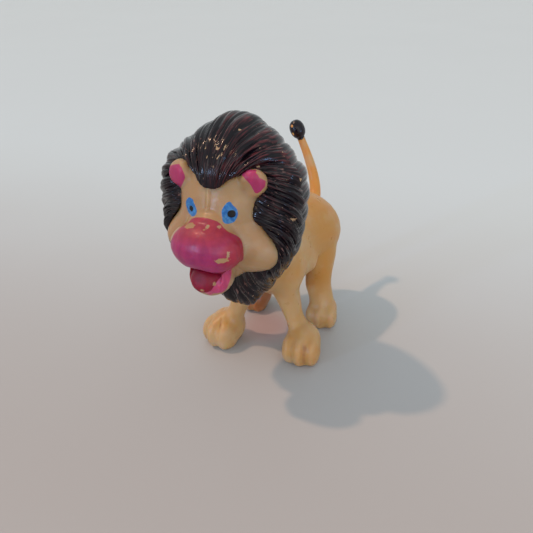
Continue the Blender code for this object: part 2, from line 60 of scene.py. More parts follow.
# Sculpting strokes on the skins, in mm: place, reach, and which way the vinyl is pushed
STROKES = {
    "head": (
        ((-8.3, -20.3, 44.8), 2.4, (-0.5, -0.2, -0.45)),
        ((-8.0, -20.0, 47.6), 1.6, (0.0, 0.0, -0.4)),
        ((5.9, -21.2, 44.8), 1.5, (0.1, 0.7, 0.0)),
        ((0.0, -28.0, 29.4), 1.8, (0.0, 0.7, 0.0)),
    ),
    "body": (
        ((8.3, -1.6, 15.6), 2.7, (-1.2, -0.7, 0.2)),
        ((7.8, 1.7, 15.6), 2.2, (-0.6, -0.2, 0.9)),
        ((5.3, 7.8, 9.6), 2.6, (-0.5, -0.3, 0.0)),
    ),
    "tail": (),
}
# Creases and mould lines, in mm: places they run through, half width, and depth (below 0: proud)
LINES = {
    "head": (
        (((-0.4, -21.7, 44.3), (-0.1, -22.5, 42.4), (-0.2, -23.0, 40.8)), 0.3, -0.2),
        (((4.6, -25.9, 31.9), (3.1, -25.3, 29.9), (2.6, -26.1, 28.8), (1.9, -26.9, 27.6)), 0.28, 0.12),
    ),
    "body": (
        (((-9.6, -5.2, 7.9), (-8.5, -8.5, 6.7), (-8.1, -10.2, 5.3), (-8.0, -11.1, 3.8)), 0.28, 0.12),
        (((7.6, -8.4, 5.4), (8.1, -9.3, 3.2), (8.1, -9.5, 1.2)), 0.8, 0.16),
        (((10.9, -8.1, 5.0), (11.2, -8.8, 3.0), (11.2, -8.9, 1.2)), 0.85, 0.24),
        (((9.0, 5.3, 4.4), (9.0, 5.2, 3.0), (9.0, 5.2, 1.2)), 0.7, 0.3),
    ),
    "tail": (
        (((0.0, 19.7, 23.6), (-0.1, 21.3, 24.0)), 1.9, -0.5),
    ),
}

# Painted shapes on the head, in mm across the face and up it, each a closed outline
LEFT_EYE = ((3.75, 42.6), (4.4, 42.0), (4.95, 41.4), (5.15, 40.4), (4.7, 39.3), (3.8, 39.0),
            (2.9, 39.7), (2.5, 40.8), (3.0, 42.0))
RIGHT_EYE = ((-4.9, 41.5), (-4.2, 42.0), (-3.4, 41.9), (-2.9, 41.2), (-2.3, 40.3), (-2.1, 39.8),
             (-2.9, 39.4), (-4.2, 39.2), (-4.9, 39.9), (-5.2, 40.7))
LEFT_PUPIL = ((4.2, 41.25), (4.65, 41.1), (4.85, 40.6), (4.65, 40.1), (4.15, 39.95), (3.65, 40.15),
              (3.5, 40.6), (3.7, 41.05))
RIGHT_PUPIL = ((-3.7, 40.75), (-3.2, 40.5), (-3.3, 39.9), (-3.7, 39.8), (-4.1, 40.0), (-4.1, 40.5))
MOUTH = ((-6.5, 31.8), (0.0, 32.4), (4.4, 31.8), (3.1, 29.9), (2.6, 29.0), (2.3, 28.3), (1.6, 27.3),
         (0.3, 26.9), (-1.5, 26.7), (-3.6, 26.9), (-5.6, 28.3))
LEFT_EAR = ((4.1, 46.9), (4.8, 47.4), (6.4, 47.9), (7.4, 47.9), (8.0, 47.4), (8.6, 46.8),
            (9.2, 46.2), (9.2, 45.3), (8.5, 44.4), (7.7, 44.2), (7.0, 45.7), (5.9, 46.8))
RIGHT_EAR = ((-6.9, 47.1), (-6.0, 46.6), (-5.5, 45.6), (-5.6, 44.6), (-6.6, 43.2), (-7.6, 42.4),
             (-9.2, 43.9), (-9.7, 45.6), (-8.6, 46.5))
# The nose is outlined twice, from the front and from above, and lies inside both
NOSE_IN_FRONT = ((-9.0, 35.2), (-7.0, 38.2), (-4.0, 40.5), (0.0, 41.5), (3.0, 41.0), (6.0, 38.8),
                 (7.6, 36.2), (7.3, 34.2), (6.6, 33.0), (5.6, 31.9), (3.5, 31.4), (0.0, 31.2),
                 (-3.5, 31.4), (-5.6, 31.6), (-7.4, 32.0), (-8.8, 33.2))
NOSE_FROM_ABOVE = ((-5.5, -26.7), (-5.1, -26.2), (-4.2, -25.6), (-3.2, -25.0), (-2.7, -24.2),
                   (-0.8, -24.2), (1.1, -24.1), (2.7, -23.9), (3.6, -24.0), (4.5, -23.8),
                   (5.5, -22.8), (6.4, -22.9), (7.0, -24.2), (7.6, -27.0), (6.0, -30.0),
                   (0.0, -31.0), (-6.0, -30.0), (-9.0, -28.0), (-8.6, -25.8), (-6.8, -26.2))
# The lip is outlined from the side: how far forward, and up
LIP = ((-22.9, 30.6), (-22.8, 29.8), (-23.6, 28.7), (-24.2, 27.7), (-24.4, 26.6), (-25.5, 25.9),
       (-27.5, 26.0), (-29.0, 27.2), (-28.6, 29.4), (-27.0, 32.6), (-24.5, 32.4))
# Paint stays ahead of these places, above the chin and on the left of the mouth, in mm
EYES_AHEAD, MOUTH_AHEAD, EARS_AHEAD = -19.0, -21.0, -16.0
NOSE_ABOVE, LIP_LEFT_OF = 28.0, 0.8
# Bare places: centre and half sizes in mm
BARE_ON_HEAD = (
    ((-2.2, -25.5, 38.6), (1.2, 0.75, 0.55)), ((1.1, -25.3, 38.9), (0.3, 0.55, 0.6)),
    ((0.9, -26.0, 38.7), (0.2, 0.2, 0.2)), ((2.9, -24.4, 38.9), (0.35, 0.3, 0.3)),
    ((4.9, -27.5, 34.4), (1.15, 1.4, 0.45)), ((5.7, -26.7, 35.4), (0.25, 0.3, 0.75)),
    ((2.4, -26.4, 28.8), (0.25, 0.45, 0.35)), ((0.6, -27.9, 27.5), (0.5, 0.6, 0.3)),
    ((2.2, -25.8, 26.1), (1.0, 0.9, 0.35)),
)
BARE_ON_TUFT = (((-6.8, 25.1, 40.1), (0.35, 0.4, 0.3)), ((-6.5, 24.9, 38.3), (0.3, 0.4, 0.4)))
TUFT_EDGE, TUFT_AXIS = Vector((-5.0, 25.6, 36.9)), Vector((-0.3, 0.1, 1.0)).normalized()

# The hair's own form, in the lion's shares: skull and hair sizes, then the keys round the face
SKULL_WIDTH, SKULL_DEPTH = 19.6 * MM, 19.2 * MM
HEAD_FORWARD, HEAD_HEIGHT = 13.4 * MM, 39.0 * MM
HAIR_DEPTH = 11.3 * MM
HAIR_CENTRE = HEAD_HEIGHT - 3.0 * MM
HAIR_REAR = 13.4 * MM - HEAD_FORWARD
NAPE_LEANNESS = 0.6
# Angle from the forelock in degrees, hairline, depth, and how far forward rim and widest ring lie
HAIR_KEYS = np.array((
    (0.0, 0.88, 0.84, 0.90, -0.20),
    (9.0, 0.91, 0.75, 0.88, -0.20),
    (16.0, 1.06, 0.57, 0.80, -0.18),
    (22.0, 1.19, 0.41, 0.70, -0.15),
    (32.0, 1.24, 0.33, 0.56, -0.08),
    (42.0, 1.18, 0.36, 0.54, 0.03),
    (52.0, 0.97, 0.56, 0.64, 0.09),
    (64.0, 0.85, 0.58, 0.72, 0.13),
    (80.0, 0.94, 0.38, 0.66, 0.16),
    (98.0, 1.15, 0.13, 0.62, 0.18),
    (112.0, 1.21, 0.08, 0.60, 0.15),
    (122.0, 1.17, 0.11, 0.62, 0.15),
    (133.0, 1.07, 0.24, 0.62, 0.12),
    (147.0, 0.98, 0.38, 0.58, 0.05),
    (160.0, 0.94, 0.59, 0.50, -0.02),
    (180.0, 0.94, 0.90, 0.42, -0.05),
))
LOCKS = 24
LOCK_HEIGHT = 0.75 * MM
LOCK_SWEEP = math.radians(42.0)
# Neck seat, which the hair ends on
NECK_PLACE = Vector((0.0, -5.4, 26.0)) * MM
NECK_LEAN = math.radians(50.0)
SEAT_FLAT_RADIUS = 7.0 * MM
SEAT_SLOPE = math.tan(math.radians(30.0))
SEAT_GAP = 0.34 * MM

# The coat of finer hair over the locks: its mesh, how far it stands out and how thick it is
HAIR_COLUMNS, HAIR_ROWS, INNER_ROWS = 1100, 150, 24
HAIR_COAT = 0.28 * MM
HAIR_COAT_DEPTH = 0.6 * MM
HAIR_FULLER_LEFT, FULLER_AT, FULLER_SPAN = 0.22 * MM, 0.6, 0.5
NAPE_WAY, NAPE_STEPS = 1.96, 400
TRESSES, TRESS_HEIGHT = 62, 0.5 * MM
STRANDS, STRAND_HEIGHT = 150, 0.13 * MM
# Relief grows from the rim and fades to the nape; the forelock is sleek and the beard ragged
LOCK_LEVEL, FINE_LEVEL = 0.45, 0.85
RIM_RELIEF, RISE_WAY, NAPE_FADE = 0.25, 0.35, 0.9
SLEEK_SHARE, SLEEK_SPAN, SLEEK_WAY = 0.7, 0.25, 0.45
RAGGED_SHARE, RAGGED_SPAN = 1.1, 0.5
# The rim turns in towards the face, less at the forelock and beside the eyes (angles in radians)
RIM_TUCK, RIM_TUCK_BACK, RIM_STEPS = 0.6 * MM, 0.3 * MM, 5
FORELOCK_RELIEF, FORELOCK_SPAN = 0.65, 0.6
CHEEK_RELIEF, CHEEK_AT, CHEEK_SPAN = 0.6, 1.25, 0.45
# Streaks in the hair's paint: how many round it, how many along it, detail, and a shift
FINE_STREAKS = (330.0, 7.0, 2.0, 0.0)
MIDDLE_STREAKS = (120.0, 5.0, 2.0, 40.0)
FLAKE_STREAKS = (150.0, 16.0, 3.0, 80.0)
# Streaks for fine pale lines of painted glints along the crests
GLINT_STREAKS = (260.0, 10.0, 2.0, 120.0)
# Places where the hair's paint is worn through, in mm, with their half size
WORN = (
    ((2.0, -19.4, 50.8), 0.5), ((1.0, -20.0, 50.5), 0.45), ((1.8, -20.3, 49.9), 0.3),
    ((7.4, -18.3, 47.8), 0.4), ((13.0, -17.0, 39.0), 0.5), ((13.1, -16.1, 37.7), 0.45),
    ((2.8, -17.5, 22.5), 0.4), ((3.6, -18.0, 24.5), 0.5), ((2.8, -15.7, 52.8), 0.4),
)

# Light: one warm source for the shadow, two small cool windows, a broad low fill and the room
SUN_FROM = Vector((-0.58, -0.18, 1.0))
SUN_ANGLE = math.radians(2.5)
SUN_STRENGTH = 1.06
SUN_COLOUR = (1.0, 0.63, 0.41)
ROOM_COLOUR = (0.70, 0.76, 0.775, 1.0)
LIGHT_AIM = Vector((0.0, -5.0, 30.0)) * MM
LIGHT_REACH = 0.6
# Where each lamp shines from, its width and height in metres, its power and its colour
AREA_LAMPS = {
    "front_window": (Vector((-0.45, -0.87, 0.15)), 0.02, 0.10, 0.8, (0.42, 0.62, 1.0)),
    "side_window": (Vector((0.93, -0.3, 0.1)), 0.025, 0.08, 0.35, (0.30, 0.55, 1.0)),
    "fill": (Vector((0.62, -0.75, 0.22)), 0.55, 0.4, 1.0, (1.0, 0.93, 0.88)),
}

# Colours in plain light, linear
VINYL = (0.48, 0.295, 0.13, 1.0)
VINYL_WARM = (0.47, 0.205, 0.03, 1.0)
# The tail's warm vinyl, a brighter copy of the body's: painted light on the tail
LIT_TAIL_WARM = (0.60, 0.26, 0.04, 1.0)
VINYL_PALE = (0.50, 0.36, 0.21, 1.0)
# The face's vinyl, a darker copy of the body's: painted shade over the head
SHADED_FACE_VINYL = (0.36, 0.215, 0.10, 1.0)
SHADED_FACE_WARM = (0.39, 0.195, 0.085, 1.0)
SHADED_FACE_PALE = (0.42, 0.30, 0.20, 1.0)
# Red-brown painted shade, for hollows and creases and for the inside of the right hind leg
PAINTED_SHADE_TINT = (0.30, 0.09, 0.03, 1.0)
HAIR_DARK = (0.003, 0.0015, 0.004, 1.0)
# Red-brown of the crests, partly the paint's own colour and partly a painted warm sheen on the top
HAIR_RED_AND_SHEEN = (0.12, 0.022, 0.026, 1.0)
# Pale tan painted glints on the hair's crests
HAIR_GLINT = (0.15, 0.075, 0.065, 1.0)
CHIP_TAN = (0.42, 0.27, 0.15, 1.0)
EYE_BLUE = (0.014, 0.12, 0.34, 1.0)
EYE_PALE = (0.05, 0.21, 0.43, 1.0)
PUPIL = (0.006, 0.006, 0.008, 1.0)
NOSE_PINK = (0.30, 0.022, 0.105, 1.0)
NOSE_RED = (0.32, 0.024, 0.045, 1.0)
MOUTH_CRIMSON = (0.20, 0.0, 0.018, 1.0)
LIP_PINK = (0.46, 0.05, 0.14, 1.0)
EAR_PINK = (0.36, 0.028, 0.105, 1.0)
TUFT_BLACK = (0.006, 0.002, 0.006, 1.0)
# The table runs from pale far off to darker near the lion's front: painted shade
TABLE_FAR = (0.57, 0.615, 0.645, 1.0)
TABLE_NEAR = (0.40, 0.37, 0.36, 1.0)
# Pink painted bounced light on the table under the belly
TABLE_BOUNCE_PINK = (0.47, 0.27, 0.27, 1.0)
# Where painted shade inside the right hind leg is strongest and which way that side looks; the table's
# spot of painted bounced light
LEG_SHADE_PLACE, LEG_SHADE_SIDE = (-6.5, 7.0, 6.0), (0.8, -0.6, 0.0)
BOUNCE_PLACE = (-3.0, 2.0, 0.0)
# The table top: half its width, how far it lies below the paws, and the way in which it pales; the
# paling is painted shade, darker and warmer towards the lion's front
TABLE_HALF, TABLE_DROP = 1.6, 0.02 * MM
TABLE_PALER = (-0.15, 0.99, 0.0)
# Light in the vinyl: its share, its reach, and how much further red goes than green and blue
GLOW_SHARE, GLOW_REACH, GLOW_SPREAD = 0.6, 3.0 * MM, (1.0, 0.36, 0.12)
# How strongly each finish mirrors
VINYL_SHINE, HAIR_SHINE, TABLE_SHINE = 0.34, 0.28, 0.3


def add_object(name, mesh):
    thing = bpy.data.objects.new(name, mesh)
    bpy.context.scene.collection.objects.link(thing)
    return thing


def settle(thing):
    """Turns an object's modifiers into its own mesh."""
    settled = thing.evaluated_get(bpy.context.evaluated_depsgraph_get())
    mesh = bpy.data.meshes.new_from_object(settled)
    thing.modifiers.clear()
    thing.data = mesh


def points_of(mesh):
    """Vertex places in mm."""
    places = np.zeros(len(mesh.vertices) * 3)
    mesh.vertices.foreach_get("co", places)
    return places.reshape(-1, 3) / MM


def normals_of(mesh):
    normals = np.zeros(len(mesh.vertices) * 3)
    mesh.vertex_normals.foreach_get("vector", normals)
    return normals.reshape(-1, 3)


def place_points(mesh, places):
    mesh.vertices.foreach_set("co", (places * MM).reshape(-1))
    mesh.update()


def keep(mesh, name, values):
    """Stores one number per vertex for the materials."""
    mesh.attributes.new(name, "FLOAT", "POINT").data.foreach_set("value", values)


def close_skin(node):
    """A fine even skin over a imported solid, with the facets rounded off."""
    skin = add_object(node + "_skin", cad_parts[node].data.copy())
    fuse = skin.modifiers.new("fuse", "REMESH")
    fuse.mode = "VOXEL"
    fuse.voxel_size = SKIN_GRAIN[node]
    soften = skin.modifiers.new("soften", "SMOOTH")
    soften.factor = 0.5
    soften.iterations = SKIN_ROUNDS[node]
    settle(skin)
    skin.data.shade_smooth()
    return skin


def reach_from_line(places, line):
    """Distance of points from a line through a few places."""
    line = np.array(line)
    nearest = np.full(len(places), np.inf)
    for start, end in zip(line[:-1], line[1:]):
        along = end - start
        share = np.clip((places - start) @ along / (along @ along), 0.0, 1.0)
        nearest = np.minimum(nearest, np.linalg.norm(places - start - share[:, None] * along, axis=1))
    return nearest


def sculpt(mesh, strokes, lines):
    """Pushes the skin with soft strokes, then presses creases and raises mould lines."""
    places = points_of(mesh)
    for centre, reach, push in strokes:
        share = np.exp(-(np.linalg.norm(places - centre, axis=1) / reach) ** 2)
        places += share[:, None] * np.array(push)
    place_points(mesh, places)
    depths = np.zeros(len(places))
    for line, width, depth in lines:
        depths += depth * np.exp(-(reach_from_line(places, line) / width) ** 2)
    place_points(mesh, places - normals_of(mesh) * depths[:, None])


def find_hollows(mesh):
    """Stores how far each point lies below its neighbourhood, in mm."""
    places, normals = points_of(mesh), normals_of(mesh)
    ends = np.zeros(len(mesh.edges) * 2, dtype=int)
    mesh.edges.foreach_get("vertices", ends)
    first, second = ends.reshape(-1, 2).T
    count = np.bincount(first, minlength=len(places)) + np.bincount(second, minlength=len(places))
    even = places.copy()
    for _ in range(HOLLOW_ROUNDS):
        total = np.stack([np.bincount(first, even[second, i], len(places))
                          + np.bincount(second, even[first, i], len(places)) for i in range(3)], -1)
        even = total / count[:, None]
    keep(mesh, "hollow", ((even - places) * normals).sum(-1))


def round_outline(outline, steps=5):
    """A smooth closed curve through a few places, with a few steps from each to the next."""
    at = np.array(outline)
    before, after, beyond = np.roll(at, 1, 0), np.roll(at, -1, 0), np.roll(at, -2, 0)
    curve = []
    for t in np.arange(steps) / steps:
        curve.append(at + 0.5 * t * (after - before + t * (
            2.0 * before - 5.0 * at + 4.0 * after - beyond + t * (
                3.0 * (at - after) + beyond - before))))
    return np.stack(curve, 1).reshape(-1, 2)


def inside_reach(flat, outline):
    """How deep flat points lie inside a closed outline, in mm; below 0 is outside."""
    curve = round_outline(outline)
    nearest = np.full(len(flat), np.inf)
    inside = np.zeros(len(flat), dtype=bool)
    for start, end in zip(curve, np.roll(curve, -1, 0)):
        along = end - start
        offset = flat - start
        share = np.clip(offset @ along / (along @ along), 0.0, 1.0)
        nearest = np.minimum(nearest, np.hypot(*(offset - share[:, None] * along).T))
        spans = (start[1] > flat[:, 1]) != (end[1] > flat[:, 1])
        rise = along[1] if along[1] else 1.0
        inside ^= spans & (offset[:, 0] < along[0] * offset[:, 1] / rise)
    return np.where(inside, nearest, -nearest)


def paint_reach(flat, facing, outlines, margin=1.0):
    """Signed reach inside the nearest of several outlines, only where the skin faces the brush."""
    result = np.full(len(flat), -margin)
    for outline in outlines:
        low, high = np.min(outline, 0) - margin, np.max(outline, 0) + margin
        near = np.flatnonzero(((flat > low) & (flat < high)).all(-1) & (facing > -margin))
        reach = np.minimum(inside_reach(flat[near], outline), facing[near])
        result[near] = np.maximum(result[near], reach)
    return result


def bare_reach(places, spots):
    """Signed reach inside the nearest bare spot, in mm."""
    result = np.full(len(places), -1.0)
    for centre, halves in spots:
        share = np.linalg.norm((places - centre) / halves, axis=1)
        result = np.maximum(result, (1.0 - share) * min(halves))
    return result


def paint_head(mesh):
    places, normals = points_of(mesh), normals_of(mesh)
    front = np.minimum(-normals[:, 1] + 0.1, EYES_AHEAD - places[:, 1])
    face = places[:, (0, 2)]
    keep(mesh, "eyes", paint_reach(face, front, (LEFT_EYE, RIGHT_EYE)))
    keep(mesh, "pupils", paint_reach(face, front, (LEFT_PUPIL, RIGHT_PUPIL)))
    below = paint_reach(places[:, :2], places[:, 2] - NOSE_ABOVE, (NOSE_FROM_ABOVE,))
    keep(mesh, "nose", paint_reach(face, below, (NOSE_IN_FRONT,)))
    keep(mesh, "mouth", paint_reach(face, MOUTH_AHEAD - places[:, 1], (MOUTH,)))
    ear_front = np.minimum(-normals[:, 1], EARS_AHEAD - places[:, 1])
    keep(mesh, "ears", paint_reach(face, ear_front, (LEFT_EAR, RIGHT_EAR)))
    keep(mesh, "lip", paint_reach(places[:, (1, 2)], places[:, 0] - LIP_LEFT_OF, (LIP,)))
    keep(mesh, "bare", bare_reach(places, BARE_ON_HEAD))


def paint_tail(mesh):
    places = points_of(mesh)
    keep(mesh, "tuft", (places - np.array(TUFT_EDGE)) @ np.array(TUFT_AXIS))
    keep(mesh, "bare", bare_reach(places, BARE_ON_TUFT))


def feed(tree, socket, value):
    if isinstance(value, bpy.types.NodeSocket):
        tree.links.new(value, socket)
    else:
        socket.default_value = value


def node(tree, kind, values=(), **settings):
    """A shader node with its settings; values pairs each input with a number or another output."""
    made = tree.nodes.new("ShaderNode" + kind)
    for key, value in settings.items():
        setattr(made, key, value)
    for key, value in dict(values).items():
        feed(tree, made.inputs[key], value)
    return made


def maths(tree, operation, *values):
    return node(tree, "Math", enumerate(values), operation=operation).outputs[0]


def vector_maths(tree, operation, *values):
    return node(tree, "VectorMath", enumerate(values), operation=operation).outputs[0]


def vector_value(tree, operation, *values):
    return node(tree, "VectorMath", enumerate(values), operation=operation).outputs["Value"]


def blend(tree, share, first, second):
    return node(tree, "Mix", {0: share, 6: first, 7: second}, data_type="RGBA").outputs[2]


def noise(tree, place, scale, detail=2.0, roughness=0.5):
    values = {"Vector": place, "Scale": scale, "Detail": detail, "Roughness": roughness}
    return node(tree, "TexNoise", values).outputs["Fac"]


def ramp(tree, value, low, high, first=0.0, second=1.0):
    """A smooth step of value from first at low to second at high."""
    values = {"Value": value, "From Min": low, "From Max": high, "To Min": first, "To Max": second}
    return node(tree, "MapRange", values, interpolation_type="SMOOTHSTEP").outputs[0]


def group(name, inputs, outputs):
    """An empty node group with its sockets; gives the tree, its inputs and its output node."""
    tree = bpy.data.node_groups.new(name, "ShaderNodeTree")
    for label, kind, default in inputs:
        socket = tree.interface.new_socket(label, in_out="INPUT", socket_type="NodeSocket" + kind)
        if default is not None:
            socket.default_value = default
    for label, kind in outputs:
        tree.interface.new_socket(label, in_out="OUTPUT", socket_type="NodeSocket" + kind)
    return tree, tree.nodes.new("NodeGroupInput").outputs, tree.nodes.new("NodeGroupOutput").inputs


def use(tree, made, values):
    """Places a node group in a material with its own values."""
    placed = tree.nodes.new("ShaderNodeGroup")
    placed.node_tree = made
    for key, value in values.items():
        feed(tree, placed.inputs[key], value)
    return placed.outputs


def attribute(tree, name):
    return node(tree, "Attribute", attribute_name=name).outputs["Fac"]


def make_edge_group():
    """Mask of hand-laid paint from its signed reach: the edge wanders a little and is sharp."""
    tree, given, out = group("painted_edge", (
        ("Reach", "Float", 0.0), ("Place", "Vector", None), ("Wander", "Float", 0.2),
        ("Soft", "Float", 0.04)), (("Mask", "Float"),))
    waves = maths(tree, "SUBTRACT", noise(tree, given["Place"], 1.7, 4.0, 0.6), 0.5)
    reach = maths(tree, "MULTIPLY_ADD", waves, given["Wander"], given["Reach"])
    low = maths(tree, "MULTIPLY", given["Soft"], -1.0)
    feed(tree, out["Mask"], ramp(tree, reach, low, given["Soft"]))
    return tree


def make_vinyl_group():
    """Cast vinyl: warm and pale clouds, painted shade that warms and darkens the hollows, specks of
    dust and a fine orange peel.
    """
    tree, given, out = group("cast_vinyl", (
        ("Place", "Vector", None), ("Hollow", "Float", 0.0), ("Age", "Float", 0.0),
        ("Colour", "Color", VINYL),
        ("Warm", "Color", VINYL_WARM), ("Pale", "Color", VINYL_PALE)),
        (("Colour", "Color"), ("Roughness", "Float"), ("Height", "Float")))
    clouds = noise(tree, given["Place"], 0.11, 3.0)
    warmth = maths(tree, "MAXIMUM", given["Age"], ramp(tree, clouds, 0.42, 0.70, 0.0, 0.55))
    colour = blend(tree, warmth, given["Colour"], given["Warm"])
    second = noise(tree, vector_maths(tree, "ADD", given["Place"], (31.0, 7.0, 19.0)), 0.17, 3.0)
    colour = blend(tree, ramp(tree, second, 0.50, 0.76, 0.0, 0.6), colour, given["Pale"])
    specks = ramp(tree, noise(tree, given["Place"], 2.4, 2.0), 0.67, 0.74, 0.0, 0.22)
    colour = blend(tree, specks, colour, given["Warm"])
    # Painted shade: hollows and creases are blended towards a darker red-brown
    colour = blend(tree, ramp(tree, given["Hollow"], 0.015, 0.14, 0.0, 0.85), colour, PAINTED_SHADE_TINT)
    crest_mark = ramp(tree, given["Hollow"], -0.02, -0.10, 0.0, 0.25)
    feed(tree, out["Colour"], blend(tree, crest_mark, colour, given["Pale"]))
    smears = noise(tree, given["Place"], 0.5, 4.0, 0.6)
    feed(tree, out["Roughness"], ramp(tree, smears, 0.3, 0.7, 0.27, 0.40))
    fine = noise(tree, given["Place"], 4.5, 2.0)
    broad = noise(tree, given["Place"], 1.1, 3.0)
    feed(tree, out["Height"], maths(tree, "MULTIPLY_ADD", fine, 0.12, broad))
    return tree


def start_material(name):
    """A material with its shader and its place in millimetres, which moves with the piece."""
    material = bpy.data.materials.new(name)
    material.use_nodes = True
    tree = material.node_tree
    place = vector_maths(tree, "MULTIPLY", node(tree, "TexCoord").outputs["Object"],
                         (1.0 / MM, 1.0 / MM, 1.0 / MM))
    return material, tree, tree.nodes["Principled BSDF"], place


def add_bump(tree, shader, height, strength, distance):
    bump = node(tree, "Bump", {"Height": height, "Strength": strength, "Distance": distance})
    feed(tree, shader.inputs["Normal"], bump.outputs[0])


def soft_vinyl(shader):
    """Light goes a little way into the vinyl and comes out warm."""
    shader.inputs["Subsurface Weight"].default_value = GLOW_SHARE
    shader.inputs["Subsurface Radius"].default_value = GLOW_SPREAD
    shader.inputs["Subsurface Scale"].default_value = GLOW_REACH
    shader.inputs["Specular IOR Level"].default_value = VINYL_SHINE


def painted(tree, place, name, wander=0.2, soft=0.04):
    return use(tree, EDGE, {"Reach": attribute(tree, name), "Place": place, "Wander": wander,
                            "Soft": soft})["Mask"]


def without(tree, mask, gone):
    return maths(tree, "MULTIPLY", mask, maths(tree, "SUBTRACT", 1.0, gone))


def blend_value(tree, share, first, second):
    return node(tree, "Mix", {0: share, 2: first, 3: second}).outputs[0]


EDGE = make_edge_group()
VINYL_TONE = make_vinyl_group()


def vinyl_tone(tree, place, warm_share, colours=(VINYL, VINYL_WARM, VINYL_PALE)):
    values = {"Place": place, "Hollow": attribute(tree, "hollow"), "Age": warm_share}
    values.update(zip(("Colour", "Warm", "Pale"), colours))
    return use(tree, VINYL_TONE, values)


def make_vinyl():
    """Vinyl, warmer and more orange over the back and rump, with painted shade that darkens the colour
    inside the right hind leg.
    """
    material, tree, shader, place = start_material("cream_vinyl_skin")
    parts = node(tree, "SeparateXYZ", {0: place}).outputs
    # Warmer and more orange towards the back and up over the rump
    warm_share = maths(tree, "MULTIPLY", ramp(tree, parts[1], -2.0, 9.0), ramp(tree, parts[2], 5.0, 13.0))
    tone = vinyl_tone(tree, place, maths(tree, "MULTIPLY", warm_share, 0.8))
    # Painted shade: the inside of the right hind leg, where the legs shade each other, is blended
    # towards a darker red-brown
    away = vector_value(tree, "DISTANCE", place, LEG_SHADE_PLACE)
    normal = node(tree, "TexCoord").outputs["Normal"]
    inner_side = vector_value(tree, "DOT_PRODUCT", normal, LEG_SHADE_SIDE)
    near = ramp(tree, away, 3.0, 9.0, 0.8, 0.0)
    leg_shade = maths(tree, "MULTIPLY", near, ramp(tree, inner_side, -0.2, 0.5))
    feed(tree, shader.inputs["Base Color"], blend(tree, leg_shade, tone["Colour"], PAINTED_SHADE_TINT))
    feed(tree, shader.inputs["Roughness"], tone["Roughness"])
    add_bump(tree, shader, tone["Height"], 0.14, 0.3 * MM)
    soft_vinyl(shader)
    return material


def make_tail_finish():
    """Vinyl in a brighter, warmer tone as painted light, with a black painted tuft, chipped in two
    places and ragged at its lower edge.
    """
    material, tree, shader, place = start_material("tail_vinyl_and_paint")
    tone = vinyl_tone(tree, place, 0.9, (VINYL, LIT_TAIL_WARM, VINYL_PALE))
    paint = without(tree, painted(tree, place, "tuft", 1.6), painted(tree, place, "bare", 0.25))
    feed(tree, shader.inputs["Base Color"], blend(tree, paint, tone["Colour"], TUFT_BLACK))
    feed(tree, shader.inputs["Roughness"], blend_value(tree, paint, tone["Roughness"], 0.24))
    strokes = noise(tree, vector_maths(tree, "MULTIPLY", place, (2.6, 2.6, 0.5)), 1.0, 3.0)
    height = maths(tree, "MULTIPLY_ADD", paint, strokes, tone["Height"])
    add_bump(tree, shader, height, 0.35, 0.2 * MM)
    soft_vinyl(shader)
    return material


def make_head_finish():
    """Vinyl in darker tones as painted shade, with the face painted on by hand: eyes, nose, mouth, lip
    and ears.
    """
    material, tree, shader, place = start_material("head_vinyl_and_paint")
    # The head's vinyl tones, darker than the body's: painted shade
    tone = vinyl_tone(tree, place, 0.0, (SHADED_FACE_VINYL, SHADED_FACE_WARM, SHADED_FACE_PALE))
    colour, roughness, height = tone["Colour"], tone["Roughness"], tone["Height"]
    bare = painted(tree, place, "bare", 0.75)
    strokes = noise(tree, vector_maths(tree, "MULTIPLY", place, (0.9, 0.9, 0.35)), 1.0, 4.0, 0.6)
    parts = node(tree, "SeparateXYZ", {0: place}).outputs
    flushed = maths(tree, "MAXIMUM", ramp(tree, parts[2], 35.5, 38.5), ramp(tree, parts[0], 3.6, 6.2))
    flushed = maths(tree, "MULTIPLY_ADD", ramp(tree, strokes, 0.35, 0.65), 0.12,
                    maths(tree, "MULTIPLY", flushed, 0.88))
    eye = blend(tree, ramp(tree, noise(tree, place, 1.9, 3.0), 0.40, 0.68), EYE_BLUE, EYE_PALE)
    depth = ramp(tree, strokes, 0.3, 0.7, 0.88, 1.12)
    layers = (
        ("lip", LIP_PINK, 0.34, 0.22),
        ("mouth", MOUTH_CRIMSON, 0.5, 0.1),
        ("nose", blend(tree, flushed, NOSE_PINK, NOSE_RED), 0.32, 0.14),
        ("ears", EAR_PINK, 0.42, 0.3),
        ("eyes", eye, 0.34, 0.14),
        ("pupils", PUPIL, 0.16, 0.05),
    )
    for name, paint_colour, gloss, wander in layers:
        mask = without(tree, painted(tree, place, name, wander), bare)
        shaded = node(tree, "Mix", {0: 1.0, 6: paint_colour, 7: depth}, data_type="RGBA",
                      blend_type="MULTIPLY").outputs[2]
        colour = blend(tree, mask, colour, shaded)
        roughness = blend_value(tree, mask, roughness, gloss)
        height = maths(tree, "MULTIPLY_ADD", mask, maths(tree, "MULTIPLY_ADD", strokes, 0.8, 0.35),
                       height)
    feed(tree, shader.inputs["Base Color"], colour)
    feed(tree, shader.inputs["Roughness"], roughness)
    add_bump(tree, shader, height, 0.22, 0.2 * MM)
    soft_vinyl(shader)
    return material


